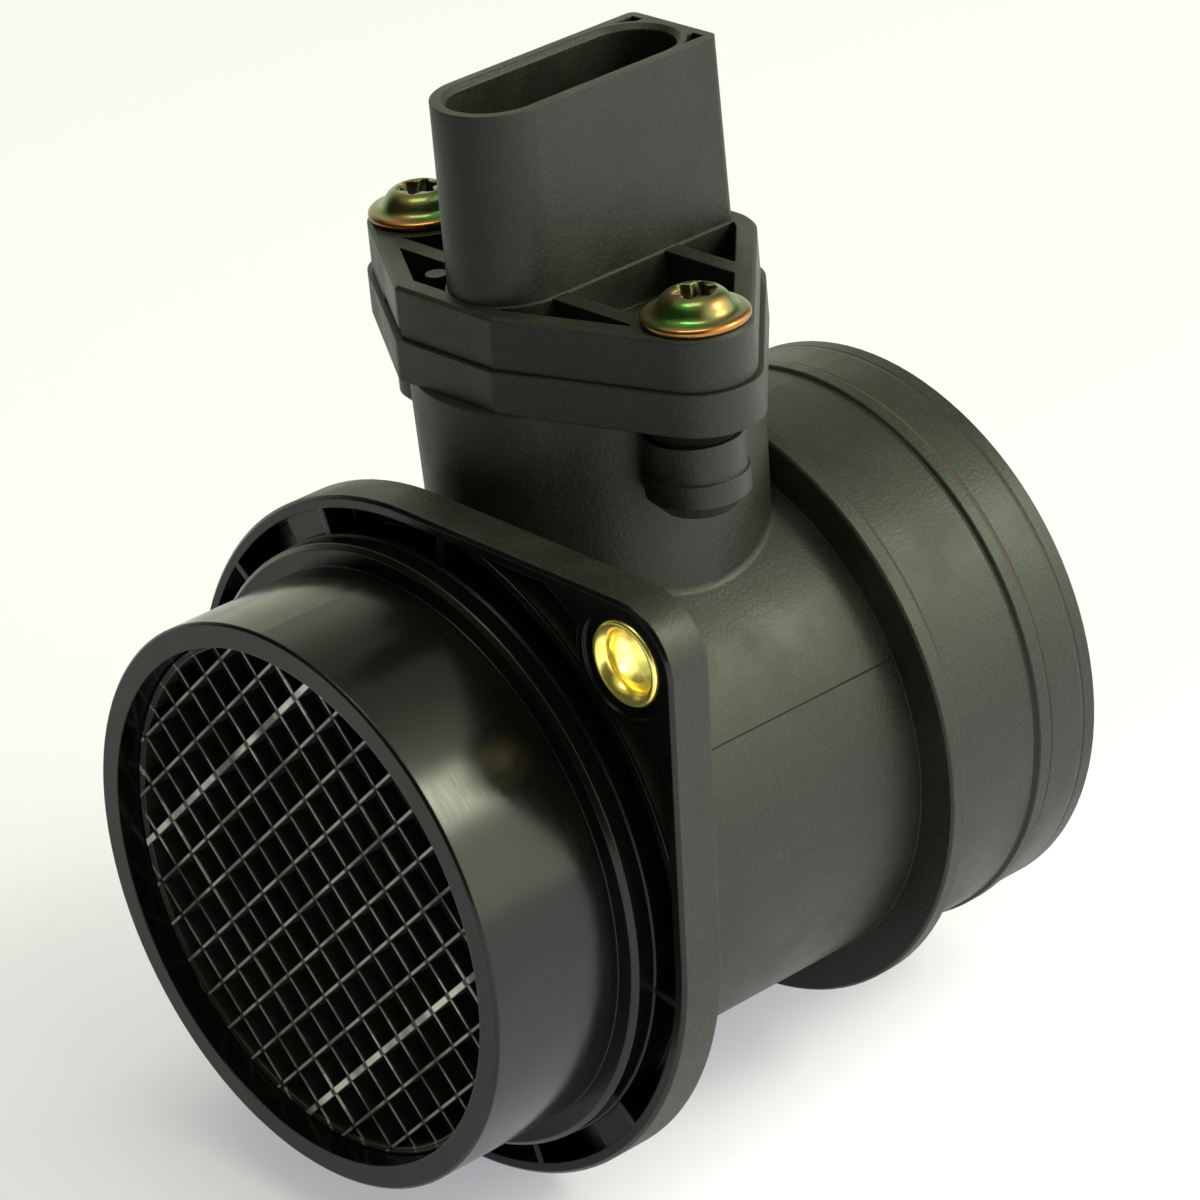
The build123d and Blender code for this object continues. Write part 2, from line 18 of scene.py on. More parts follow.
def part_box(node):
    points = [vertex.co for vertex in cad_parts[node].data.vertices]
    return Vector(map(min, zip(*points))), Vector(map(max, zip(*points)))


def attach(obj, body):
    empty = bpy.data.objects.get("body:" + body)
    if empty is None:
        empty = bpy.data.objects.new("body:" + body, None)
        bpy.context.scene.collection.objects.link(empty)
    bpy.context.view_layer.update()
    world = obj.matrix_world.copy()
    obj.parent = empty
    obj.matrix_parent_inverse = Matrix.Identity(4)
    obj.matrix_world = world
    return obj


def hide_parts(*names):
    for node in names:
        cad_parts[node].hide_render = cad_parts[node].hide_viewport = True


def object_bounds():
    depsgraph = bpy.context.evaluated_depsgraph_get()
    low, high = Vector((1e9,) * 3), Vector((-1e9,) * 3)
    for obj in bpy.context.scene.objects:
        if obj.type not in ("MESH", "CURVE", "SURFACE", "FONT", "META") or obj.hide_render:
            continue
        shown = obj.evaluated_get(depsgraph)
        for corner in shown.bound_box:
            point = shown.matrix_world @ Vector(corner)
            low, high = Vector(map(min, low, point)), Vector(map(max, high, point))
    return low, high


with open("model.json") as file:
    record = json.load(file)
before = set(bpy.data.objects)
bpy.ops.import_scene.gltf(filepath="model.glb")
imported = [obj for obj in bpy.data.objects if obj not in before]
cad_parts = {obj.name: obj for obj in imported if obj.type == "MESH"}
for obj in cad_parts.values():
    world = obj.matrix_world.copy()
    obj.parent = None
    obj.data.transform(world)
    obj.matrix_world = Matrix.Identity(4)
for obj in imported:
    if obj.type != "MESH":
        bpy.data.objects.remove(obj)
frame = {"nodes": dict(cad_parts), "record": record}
cad_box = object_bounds()
nodes = frame["nodes"]
MM = 0.001

# %% [markdown]
# ## Camera
# The photograph was taken with a long lens from the inlet side, a little above
# the duct and turned about 50 degrees to the right of its axis. The picture
# leans by a few degrees, so the camera is rolled too. A camera's own axes are
# the columns of its matrix: right, up and back.

# %% Camera
camera_azimuth = math.radians(49.69)
camera_elevation = math.radians(25.33)
camera_roll = math.radians(-5.57)
camera_place = Vector((434.6, -339.6, 289.5)) * MM
camera_lens = 160.1
camera_sensor_width = 36


def camera_axes(azimuth, elevation, roll):
    """Right, up and back of a camera that looks at the object from an angle."""
    back = Vector(
        (
            math.sin(azimuth) * math.cos(elevation),
            -math.cos(azimuth) * math.cos(elevation),
            math.sin(elevation),
        )
    )
    level = Vector((math.cos(azimuth), math.sin(azimuth), 0))
    upright = back.cross(level)
    right = level * math.cos(roll) + upright * math.sin(roll)
    up = upright * math.cos(roll) - level * math.sin(roll)
    return right, up, back


def add_camera():
    """Camera at the photograph's place, with its lens."""
    data = bpy.data.cameras.new("camera")
    data.lens = camera_lens
    data.sensor_width = camera_sensor_width
    camera = bpy.data.objects.new("camera", data)
    bpy.context.scene.collection.objects.link(camera)
    axes = camera_axes(camera_azimuth, camera_elevation, camera_roll)
    camera.matrix_world = Matrix.Translation(camera_place) @ Matrix(axes).transposed().to_4x4()
    bpy.context.scene.camera = camera
    return camera


camera = add_camera()
print("camera at", [round(value, 4) for value in camera.location])

# %% [markdown]
# ## Helpers for node trees
# Each finish is a small node tree on a Principled shader, and the floor and the
# room are made of the same steps. Patterns read the object's own coordinates,
# which here are the frame's metres, so a grain of four tenths of a millimetre
# has the same size on each piece. A rounded-edge normal stands for the small
# radius that a mould leaves on each edge.

# %% Node helpers
bevel_samples = 6


def start_finish(name, roughness, metallic=0.0):
    """New material with its shader; fixed numbers sit on the shader's sockets."""
    material = bpy.data.materials.new(name)
    material.use_nodes = True
    shader = material.node_tree.nodes["Principled BSDF"]
    shader.inputs["Roughness"].default_value = roughness
    shader.inputs["Metallic"].default_value = metallic
    return material, material.node_tree, shader


def own_place(tree):
    """The object's own coordinates, in metres."""
    return tree.nodes.new("ShaderNodeTexCoord").outputs["Object"]


def noise(tree, period, detail=2.0, roughness=0.5, stretch=(1, 1, 1)):
    """Noise whose features are about one period wide, in metres."""
    mapping = tree.nodes.new("ShaderNodeMapping")
    mapping.inputs["Scale"].default_value = [axis / period for axis in stretch]
    texture = tree.nodes.new("ShaderNodeTexNoise")
    texture.inputs["Scale"].default_value = 1.0
    texture.inputs["Detail"].default_value = detail
    texture.inputs["Roughness"].default_value = roughness
    tree.links.new(own_place(tree), mapping.inputs["Vector"])
    tree.links.new(mapping.outputs["Vector"], texture.inputs["Vector"])
    return texture.outputs["Fac"]


def math_step(tree, operation, *values):
    """One math node; each value is a number or another node's output."""
    node = tree.nodes.new("ShaderNodeMath")
    node.operation = operation
    for socket, value in zip(node.inputs, values):
        if isinstance(value, (int, float)):
            socket.default_value = value
        else:
            tree.links.new(value, socket)
    return node.outputs["Value"]


def sum_of_squares(tree, first, second):
    """Sum of the squares of two outputs."""
    return math_step(
        tree,
        "ADD",
        math_step(tree, "MULTIPLY", first, first),
        math_step(tree, "MULTIPLY", second, second),
    )


def reach_along(tree, place, direction):
    """How far a place lies along a direction."""
    node = tree.nodes.new("ShaderNodeVectorMath")
    node.operation = "DOT_PRODUCT"
    node.inputs[1].default_value = direction
    tree.links.new(place, node.inputs[0])
    return node.outputs["Value"]


def remap(tree, value, low, high, to_low, to_high, smooth=False):
    """Clamped change of range from low..high to to_low..to_high."""
    node = tree.nodes.new("ShaderNodeMapRange")
    node.interpolation_type = "SMOOTHSTEP" if smooth else "LINEAR"
    node.inputs["From Min"].default_value = low
    node.inputs["From Max"].default_value = high
    node.inputs["To Min"].default_value = to_low
    node.inputs["To Max"].default_value = to_high
    tree.links.new(value, node.inputs["Value"])
    return node.outputs["Result"]


def blend_colours(tree, factor, first, second):
    """Mix of two colours; each is an RGB triple or another node's output."""
    node = tree.nodes.new("ShaderNodeMix")
    node.data_type = "RGBA"
    tree.links.new(factor, node.inputs["Factor"])
    for socket, colour in ((node.inputs[6], first), (node.inputs[7], second)):
        if isinstance(colour, tuple):
            socket.default_value = (*colour, 1)
        else:
            tree.links.new(colour, socket)
    return node.outputs[2]


def soft_edges_and_bumps(tree, shader, radius, bumps):
    """Rounded edges, then bumps given as (height output, depth in metres)."""
    bevel = tree.nodes.new("ShaderNodeBevel")
    bevel.samples = bevel_samples
    bevel.inputs["Radius"].default_value = radius
    normal = bevel.outputs["Normal"]
    for height, depth in bumps:
        bump = tree.nodes.new("ShaderNodeBump")
        bump.inputs["Strength"].default_value = 1.0
        bump.inputs["Distance"].default_value = depth
        tree.links.new(height, bump.inputs["Height"])
        tree.links.new(normal, bump.inputs["Normal"])
        normal = bump.outputs["Normal"]
    tree.links.new(normal, shader.inputs["Normal"])


print("helpers ready")

# %% [markdown]
# ## Floor and light
# Black plastic shows little of its own colour. What we see on it is the light
# that falls on its grain and, on the glossy front, what the front mirrors. In
# the photograph the bright things are a lamp behind the part on the right,
# white paper on the right and on the left behind, and a pale floor. The side of
# the camera is dark. So the room is a dim sky with a few soft bright lobes and
# two lamps, one for the window and one overhead. The floor glows a little, and
# more beside the part on the window's side, which lights the duct from below.
# The Standard view keeps the black deep.

# %% Floor
floor_level = cad_box[0][2]
floor_reach = 3.0
floor_colour = (0.42, 0.41, 0.45)
floor_roughness = 0.9
floor_glow_colour = (0.95, 0.93, 1.0)
floor_glow = 0.36
window_side = (1.0, 0.15, 0.0)
window_glow = 1.35
window_glow_reach = 0.09


def add_floor():
    """One large pale plane under the part."""
    mesh = bpy.data.meshes.new("floor")
    corners = [(-1, -1), (1, -1), (1, 1), (-1, 1)]
    points = [(floor_reach * x, floor_reach * y, floor_level) for x, y in corners]
    mesh.from_pydata(points, [], [(0, 1, 2, 3)])
    floor = bpy.data.objects.new("floor", mesh)
    bpy.context.scene.collection.objects.link(floor)
    material, tree, shader = start_finish("pale floor", floor_roughness)
    shader.inputs["Base Color"].default_value = (*floor_colour, 1)
    shader.inputs["Emission Color"].default_value = (*floor_glow_colour, 1)
    towards = reach_along(tree, own_place(tree), window_side)
    glow = remap(tree, towards, 0.0, window_glow_reach, floor_glow, window_glow, smooth=True)
    tree.links.new(glow, shader.inputs["Emission Strength"])
    mesh.materials.append(material)
    return floor


floor = add_floor()
bpy.context.scene.view_settings.view_transform = "Standard"
print("floor at", round(floor_level, 4))

# %% Light
light_tint = (0.93, 1.0, 0.74)
room_dimness = 0.02
room_lobes = [
    ((0.80, 0.60, 0.00), 0.30, 0.95, 4.1),
    ((-0.86, 0.50, 0.05), 0.55, 0.98, 1.4),
    ((0.00, 0.00, 1.00), 0.60, 0.98, 1.0),
]
lamp_distance = 0.9
lamp_target = (0.0, 0.02, 0.02)
lamp_places = [
    ("window lamp", (0.60, 0.55, 0.58), (0.26, 0.26), 0.0, 4.8),
    ("ceiling lamp", (0.03, -0.12, 1.00), (0.50, 0.30), 40.0, 3.2),
]


def add_lamp(name, direction, size, turn, power):
    """Lamp that looks at the part's middle from a direction, turned by degrees."""
    target = Vector(lamp_target)
    place = target + Vector(direction).normalized() * lamp_distance
    data = bpy.data.lights.new(name, "AREA")
    data.shape = "RECTANGLE"
    data.size, data.size_y = size
    data.energy = power
    data.color = light_tint
    lamp = bpy.data.objects.new(name, data)
    bpy.context.scene.collection.objects.link(lamp)
    lamp.location = place
    aim = (target - place).to_track_quat("-Z", "Y")
    lamp.rotation_euler = (aim @ Quaternion((0, 0, 1), math.radians(turn))).to_euler()
    return lamp


def add_room():
    """Dim room whose walls are bright in a few directions."""
    world = bpy.data.worlds.new("room")
    world.use_nodes = True
    tree = world.node_tree
    background = tree.nodes["Background"]
    background.inputs["Color"].default_value = (*light_tint, 1)
    looked_at = tree.nodes.new("ShaderNodeTexCoord").outputs["Generated"]
    total = room_dimness
    for direction, starts, full, strength in room_lobes:
        towards = reach_along(tree, looked_at, Vector(direction).normalized())
        lobe = remap(tree, towards, starts, full, 0.0, strength, smooth=True)
        total = math_step(tree, "ADD", lobe, total)
    tree.links.new(total, background.inputs["Strength"])
    bpy.context.scene.world = world


add_room()
lamps = [add_lamp(*place) for place in lamp_places]
print("lamps", [lamp.name for lamp in lamps])

# %% [markdown]
# ## Moulded black plastic
# The mould's cavity is spark-eroded, so the body, neck and sensor carry an even
# fine grain that scatters light. The inlet spigot, its root ring and the cored
# front of the flange come from polished steel and are glossy. Both are one
# plastic, so one shader changes from gloss to grain: the place along the duct
# and the distance from its axis tell which steel shaped the surface. The same
# two values also place the mould's parting line, and dark lines round the hose
# end that are painted shade at the feet of its bead and near its rim. A brown
# line on the bead's upper side is a painted reflection. The duct's inside and
# the narrow gaps over the screw bosses are painted near black as painted shade.

# %% Plastic
grain_period = 0.42 * MM
grain_depth = 0.045 * MM
polished_ends_at = 0.42 * MM
core_bottom = 4.3 * MM
core_reach = 42.4 * MM
inside_reach = 31.4 * MM
# Near black painted on the duct's inside and in the boss gaps, as painted shade.
painted_shade_black = (0.0008, 0.0009, 0.0007)
inside_roughness = 0.9
matte_roughness = (0.42, 0.56)
gloss_roughness = (0.13, 0.21)
matte_black = (0.0060, 0.0068, 0.0045)
matte_worn = (0.0150, 0.0165, 0.0110)
gloss_black = (0.0020, 0.0022, 0.0018)
plastic_specular = 0.28
plastic_edge = 0.26 * MM
cloud_period = 9 * MM
cloud_weight = 0.35
wave_period = 14 * MM
wave_depth = 0.22 * MM
streak_period = 1 * MM
smear_period = 8 * MM
smear_gain = 0.06
parting_angle = math.radians(25.0)
parting_half_width = 0.11 * MM
body_outside = 33.2 * MM
body_stretch = (6.1 * MM, 46.7 * MM)
hose_lines = (64.1 * MM, 66.75 * MM, 72.4 * MM)
hose_line_half_width = 0.35 * MM
line_depth = 0.10 * MM
boss_axis = 23.2 * MM
boss_middle_y = 27.2 * MM
boss_offset_y = 1.6 * MM
gap_reach = 5.15 * MM
gap_heights = (49.25 * MM, 51.65 * MM)
# A brown painted reflection on the upper side of the hose end's bead.
brown_line = 66.75 * MM
brown_half_width = 0.3 * MM
brown_height = 26 * MM
brown_reflection_colour = (0.055, 0.022, 0.010)


def duct_place(tree):
    """Place along the duct, and the distance from its axis, as outputs."""
    split = tree.nodes.new("ShaderNodeSeparateXYZ")
    tree.links.new(own_place(tree), split.inputs[0])
    squares = sum_of_squares(tree, split.outputs["X"], split.outputs["Z"])
    return split, math_step(tree, "SQRT", squares)


def polished_share(tree, split, distance):
    """1 on the polished front, 0 on the grained body."""
    front = math_step(tree, "LESS_THAN", split.outputs["Y"], polished_ends_at)
    cored = math_step(tree, "LESS_THAN", split.outputs["Y"], core_bottom)
    inside = math_step(tree, "LESS_THAN", distance, core_reach)
    return math_step(tree, "MAXIMUM", front, math_step(tree, "MULTIPLY", cored, inside))


def line_at(tree, value, centre, half_width):
    """1 on a thin line where a value meets its centre, fading to 0 beside it."""
    off = math_step(tree, "ABSOLUTE", math_step(tree, "SUBTRACT", value, centre))
    return remap(tree, off, 0.0, half_width, 1.0, 0.0)


def parting_line(tree, split, distance):
    """Line along the duct where the two halves of the mould met."""
    across = (math.sin(parting_angle), 0, -math.cos(parting_angle))
    off_plane = reach_along(tree, own_place(tree), across)
    line = line_at(tree, off_plane, 0.0, parting_half_width)
    limits = (
        math_step(tree, "GREATER_THAN", distance, body_outside),
        math_step(tree, "GREATER_THAN", split.outputs["Y"], body_stretch[0]),
        math_step(tree, "LESS_THAN", split.outputs["Y"], body_stretch[1]),
    )
    for limit in limits:
        line = math_step(tree, "MULTIPLY", line, limit)
    return line


def boss_gap_shade_mask(tree, split):
    """1 inside the two gaps over the screw bosses, which are painted near black as painted
    shade.
    """
    side = math_step(tree, "SIGN", split.outputs["X"])
    middle_y = math_step(tree, "MULTIPLY_ADD", side, -boss_offset_y, boss_middle_y)
    from_duct = math_step(tree, "ABSOLUTE", split.outputs["X"])
    off_x = math_step(tree, "SUBTRACT", from_duct, boss_axis)
    off_y = math_step(tree, "SUBTRACT", split.outputs["Y"], middle_y)
    near = math_step(tree, "LESS_THAN", sum_of_squares(tree, off_x, off_y), gap_reach**2)
    above = math_step(tree, "GREATER_THAN", split.outputs["Z"], gap_heights[0])
    below = math_step(tree, "LESS_THAN", split.outputs["Z"], gap_heights[1])
    return math_step(tree, "MULTIPLY", near, math_step(tree, "MULTIPLY", above, below))


def hose_end_shade_lines(tree, split):
    """Soft lines round the hose end, at the feet of its bead and near its rim: a dip in the
    bump, and painted shade in the colour.
    """
    total = 0.0
    for place in hose_lines:
        line = line_at(tree, split.outputs["Y"], place, hose_line_half_width)
        total = math_step(tree, "MAXIMUM", line, total)
    return total


def seam_and_shade_lines(tree, split, distance, grained):
    """Parting line, and hose end lines of painted shade, only where the plastic is grained."""
    rings = hose_end_shade_lines(tree, split)
    parting = parting_line(tree, split, distance)
    return math_step(tree, "MULTIPLY", math_step(tree, "MAXIMUM", rings, parting), grained)


def painted_brown_reflection(tree, split):
    """1 on a painted brown reflection at the foot of the hose end's bead, on its upper side."""
    upper_side = remap(tree, split.outputs["Z"], 0.0, brown_height, 0.0, 1.0)
    line = line_at(tree, split.outputs["Y"], brown_line, brown_half_width)
    return math_step(tree, "MULTIPLY", line, upper_side)


def polished_roughness(tree):
    """Roughness of the polished front: streaks round it, and soft smears."""
    streaks = noise(tree, streak_period, 3.0, stretch=(0.2, 5.0, 0.2))
    smear = remap(tree, noise(tree, smear_period, 3.0), 0.3, 0.7, 0.0, smear_gain)
    return math_step(tree, "ADD", smear, remap(tree, streaks, 0.25, 0.75, *gloss_roughness))


def grained_plastic(name, shade=1.0, duct=False):
    """Black plastic with mould grain; a duct also has a polished front and lines, painted shade
    inside and a painted brown reflection.
    """
    material, tree, shader = start_finish(name, matte_roughness[0])
    shader.inputs["Specular IOR Level"].default_value = plastic_specular
    cloud = remap(tree, noise(tree, cloud_period, 3.0), 0.35, 0.7, 0.0, 1.0)
    speck = remap(tree, noise(tree, grain_period, 1.0), 0.42, 0.72, 0.0, 1.0)
    worn = math_step(
        tree,
        "ADD",
        math_step(tree, "MULTIPLY", cloud, cloud_weight),
        math_step(tree, "MULTIPLY", speck, 1.0 - cloud_weight),
    )
    dark = tuple(shade * value for value in matte_black)
    light = tuple(shade * value for value in matte_worn)
    colour = blend_colours(tree, worn, dark, light)
    dull = remap(tree, cloud, 0.0, 1.0, *matte_roughness)
    grain = noise(tree, grain_period, 2.0)
    heights = [(noise(tree, wave_period, 1.0), wave_depth)]
    if duct:
        split, distance = duct_place(tree)
        polished = polished_share(tree, split, distance)
        grained = math_step(tree, "SUBTRACT", 1.0, polished)
        lines = seam_and_shade_lines(tree, split, distance, grained)
        # Painted shade: the duct's inside and the gaps over the bosses are painted near black
        # and made dull.
        inside = math_step(tree, "LESS_THAN", distance, inside_reach)
        inside = math_step(tree, "MAXIMUM", inside, boss_gap_shade_mask(tree, split))
        # The parting line is a dark seam; the hose end lines are painted shade at the feet of
        # the bead and near the rim.
        colour = blend_colours(tree, lines, colour, gloss_black)
        # Painted reflection: a brown line at the foot of the hose bead, on its upper side.
        colour = blend_colours(tree, painted_brown_reflection(tree, split), colour, brown_reflection_colour)
        colour = blend_colours(tree, polished, colour, gloss_black)
        colour = blend_colours(tree, inside, colour, painted_shade_black)
        gloss = math_step(tree, "MULTIPLY", polished_roughness(tree), polished)
        dull = math_step(tree, "ADD", math_step(tree, "MULTIPLY", dull, grained), gloss)
        inside_dull = math_step(tree, "MULTIPLY", inside, inside_roughness)
        dull = math_step(tree, "MAXIMUM", dull, inside_dull)
        grain = math_step(tree, "MULTIPLY", grain, grained)
        heights.append((math_step(tree, "MULTIPLY", lines, -1.0), line_depth))
    tree.links.new(colour, shader.inputs["Base Color"])
    tree.links.new(dull, shader.inputs["Roughness"])
    soft_edges_and_bumps(tree, shader, plastic_edge, [*heights, (grain, grain_depth)])
    return material


materials = {
    "housing": grained_plastic("housing plastic", duct=True),
    "sensor": grained_plastic("sensor plastic", shade=0.75),
    "cover": grained_plastic("cover plastic"),
}
print("plastics", list(materials))

# %% [markdown]
# ## Plastic of the flow grid
# The grid is a separate thin moulding. Its bars are crowned in front, and the
# light that their crests catch between the crossings is painted into their
# colour as a painted highlight, which stops where a falling bar crosses them.
# The deep sides of the bars are painted near black as painted shade. The
# pattern follows the two pitches and the slant of the lattice.

# %% Grid plastic
GRID_INPUTS = {
    "Ring radius": 31.5 * MM,
    "Rising pitch": 4.69 * MM,
    "Falling pitch": 4.55 * MM,
    "Rising width": 0.46 * MM,
    "Falling width": 0.34 * MM,
    "Strong rising width": 0.86 * MM,
    "Strong falling width": 0.50 * MM,
    "Slant": math.radians(42.0),
    "Step back": 0.14 * MM,
    "Seat": -16.9 * MM,
}
grid_front = -17.95 * MM
strong_bar = 4
crest_half = 0.10 * MM
strong_crest_half = 0.30 * MM
crest_fade = 0.10 * MM
crossing_half = 0.30 * MM
# Painted highlight colours of the bar crests, brighter on the strong bars.
crest_highlight_colour = (0.30, 0.31, 0.27)
strong_crest_highlight_colour = (0.62, 0.62, 0.54)
bar_colour = (0.010, 0.011, 0.009)
# Painted shade on the bars' deep sides.
bar_side_shade = (0.0008, 0.0009, 0.0007)
bar_front_depth = 0.25 * MM
bar_roughness = (0.35, 0.9)
bar_edge = 0.08 * MM
crest_patch_period = 7 * MM
crest_wave_period = 5 * MM
crest_wave_depth = 0.3 * MM


def crest_line(tree, place, pitch):
    """1 on the crests of one family of bars, wider on its strong bars."""
    off = math_step(tree, "PINGPONG", place, pitch / 2)
    from_middle = math_step(tree, "ABSOLUTE", place)
    from_strong = math_step(tree, "SUBTRACT", from_middle, strong_bar * pitch)
    strong = math_step(tree, "LESS_THAN", math_step(tree, "ABSOLUTE", from_strong), pitch / 2)
    spare = strong_crest_half - crest_half
    half = math_step(tree, "ADD", math_step(tree, "MULTIPLY", strong, spare), crest_half)
    beyond = math_step(tree, "SUBTRACT", off, half)
    return off, strong, remap(tree, beyond, 0.0, crest_fade, 1.0, 0.0)


def grid_plastic():
    """Black plastic with painted highlights on the bars' crests between the crossings, and
    painted shade on their deep sides.
    """
    material, tree, shader = start_finish("grid plastic", bar_roughness[0])
    shader.inputs["Specular IOR Level"].default_value = plastic_specular
    slant = GRID_INPUTS["Slant"]
    place = own_place(tree)
    along = reach_along(tree, place, (math.cos(slant), 0, math.sin(slant)))
    across = reach_along(tree, place, (-math.sin(slant), 0, math.cos(slant)))
    depth = reach_along(tree, place, (0, 1, 0))
    off_rising, strong, rising = crest_line(tree, across, GRID_INPUTS["Rising pitch"])
    off_falling, _, falling = crest_line(tree, along, GRID_INPUTS["Falling pitch"])
    clear = remap(tree, off_falling, crossing_half, 2 * crossing_half, 0.0, 1.0)
    falling_clear = remap(tree, off_rising, crossing_half, 2 * crossing_half, 0.0, 0.75)
    patchy = remap(tree, noise(tree, crest_patch_period, 2.0), 0.36, 0.60, 0.12, 1.0)
    crests = math_step(
        tree,
        "MAXIMUM",
        math_step(tree, "MULTIPLY", rising, clear),
        math_step(tree, "MULTIPLY", falling, falling_clear),
    )
    crests = math_step(tree, "MULTIPLY", crests, patchy)
    # Painted highlight: the light that the crowned crests catch is painted into their colour,
    # patchy, and none at the crossings.
    light = blend_colours(tree, strong, crest_highlight_colour, strong_crest_highlight_colour)
    face = blend_colours(tree, crests, bar_colour, light)
    # Painted shade: behind the bars' front, their deep sides are painted near black.
    behind = remap(tree, depth, grid_front, grid_front + bar_front_depth, 0.0, 1.0)
    tree.links.new(blend_colours(tree, behind, face, bar_side_shade), shader.inputs["Base Color"])
    tree.links.new(remap(tree, behind, 0.0, 1.0, *bar_roughness), shader.inputs["Roughness"])
    wave = noise(tree, crest_wave_period, 2.0)
    soft_edges_and_bumps(tree, shader, bar_edge, [(wave, crest_wave_depth)])
    return material


materials["grid"] = grid_plastic()
print("grid plastic ready")

# %% [markdown]
# ## Metals
# The sleeves are drawn from yellow-plated steel and shine. The screws are
# yellow chromated: the thin layer breaks light into olive, bronze and violet,
# which a ramp of colours over a soft noise repeats. Two marks written on the
# turned meshes paint brown on a washer's rim, partly its own colour and partly
# a painted reflection that is strongest on one side, and paint a screw's drive
# dark as painted shade. Contacts and leads are tinned, and the plate in the
# probe is rolled aluminium.

# %% Metal finishes
def ramp(tree, factor, stops):
    """Colour ramp from (place, colour) stops."""
    node = tree.nodes.new("ShaderNodeValToRGB")
    while len(node.color_ramp.elements) < len(stops):
        node.color_ramp.elements.new(0.5)
    for element, (place, colour) in zip(node.color_ramp.elements, stops):
        element.position = place
        element.color = (*colour, 1)
    tree.links.new(factor, node.inputs["Fac"])
    return node.outputs["Color"]


metal_edge = 0.1 * MM
brushing_period = 0.25 * MM
# Marks of painted light: brown with a painted reflection on washer rims, and painted shade in
# screw drives.
painted_light_marks = {"rim": (0.26, 0.11, 0.035), "hollow": (0.010, 0.009, 0.006)}


def metal(name, period, stops, smooth, dull, shine=1.0, depth=0.01 * MM, stretch=(1, 1, 1)):
    """Metal whose colour and roughness drift; brown with a painted reflection on rims, and
    painted shade in hollows.
    """
    material, tree, shader = start_finish(name, smooth, metallic=shine)
    drift = noise(tree, period, 1.0, stretch=stretch)
    colour = ramp(tree, drift, stops)
    for mark, marked_colour in painted_light_marks.items():
        marked = tree.nodes.new("ShaderNodeAttribute")
        marked.attribute_name = mark
        colour = blend_colours(tree, marked.outputs["Fac"], colour, marked_colour)
    tree.links.new(colour, shader.inputs["Base Color"])
    tree.links.new(remap(tree, drift, 0.3, 0.7, smooth, dull), shader.inputs["Roughness"])
    fine = noise(tree, brushing_period, 2.0, stretch=stretch)
    soft_edges_and_bumps(tree, shader, metal_edge, [(fine, depth)])
    return material


brass_stops = [(0.30, (0.78, 0.60, 0.12)), (0.70, (0.92, 0.82, 0.30))]
screw_stops = [
    (0.34, (0.07, 0.17, 0.04)),
    (0.46, (0.10, 0.11, 0.04)),
    (0.58, (0.13, 0.12, 0.05)),
    (0.70, (0.24, 0.11, 0.04)),
]
tin_stops = [(0.3, (0.62, 0.61, 0.58)), (0.7, (0.76, 0.75, 0.72))]
plate_stops = [(0.3, (0.66, 0.67, 0.68)), (0.7, (0.78, 0.78, 0.79))]

materials["sleeve"] = metal(
    "sleeve plating", 3 * MM, brass_stops, 0.16, 0.26, shine=0.85, depth=0.003 * MM
)
materials["screw"] = metal("screw chromate", 4.5 * MM, screw_stops, 0.17, 0.30, shine=0.9)
materials["contact"] = metal("tinned contact", 2 * MM, tin_stops, 0.2, 0.35)
materials["lead"] = metal("tinned lead", 1 * MM, tin_stops, 0.2, 0.3)
materials["plate"] = metal(
    "rolled plate", 2 * MM, plate_stops, 0.25, 0.4, depth=0.02 * MM, stretch=(1, 1, 0.06)
)
print("metals ready")

# %% [markdown]
# ## Rubber, ceramic and resin
# These pieces sit inside the sensor. They still get their own finish, because
# the part may be taken apart: dull rubber, white fired ceramic with a faint
# speckle, a polished dark chip, and a resin bead.

# %% Inner finishes
def spotted(name, first, second, period, smooth, dull, edge, depth):
    """Non-metal whose colour and roughness vary between two looks."""
    material, tree, shader = start_finish(name, smooth)
    spots = remap(tree, noise(tree, period, 3.0), 0.35, 0.65, 0.0, 1.0)
    tree.links.new(blend_colours(tree, spots, first, second), shader.inputs["Base Color"])
    tree.links.new(remap(tree, spots, 0.0, 1.0, smooth, dull), shader.inputs["Roughness"])
    soft_edges_and_bumps(tree, shader, edge, [(spots, depth)])
    return material


seal_colours = ((0.012, 0.012, 0.012), (0.02, 0.02, 0.019))
board_colours = ((0.78, 0.78, 0.74), (0.86, 0.86, 0.83))
chip_colours = ((0.05, 0.06, 0.09), (0.10, 0.11, 0.15))
bead_colours = ((0.03, 0.012, 0.008), (0.06, 0.03, 0.02))
spotted_finishes = {
    "seal": ("seal rubber", *seal_colours, 1 * MM, 0.5, 0.65, 0.2 * MM, 0.01 * MM),
    "board": ("fired ceramic", *board_colours, 0.8 * MM, 0.5, 0.7, 0.1 * MM, 0.01 * MM),
    "chip": ("chip face", *chip_colours, 1.2 * MM, 0.10, 0.22, 0.05 * MM, 0.002 * MM),
    "bead": ("bead resin", *bead_colours, 0.9 * MM, 0.2, 0.35, 0.2 * MM, 0.01 * MM),
}
for slot, finish in spotted_finishes.items():
    materials[slot] = spotted(*finish)
print("finishes", len(materials))

# %% Put the finishes on
for subpart in frame["record"]["subparts"]:
    mesh = nodes[subpart["node"]].data
    mesh.materials.clear()
    mesh.materials.append(materials[subpart["material_slot"]])

# %% [markdown]
# ## Turned pieces
# A turned piece is a profile spun round an axis. We write the profile as rings
# of a radius and a height. A ring's radius may also be a function of the turn,
# which is enough to cut a six-lobe drive into a screw head. Marks are values
# on chosen rings, which the metal's finish reads.

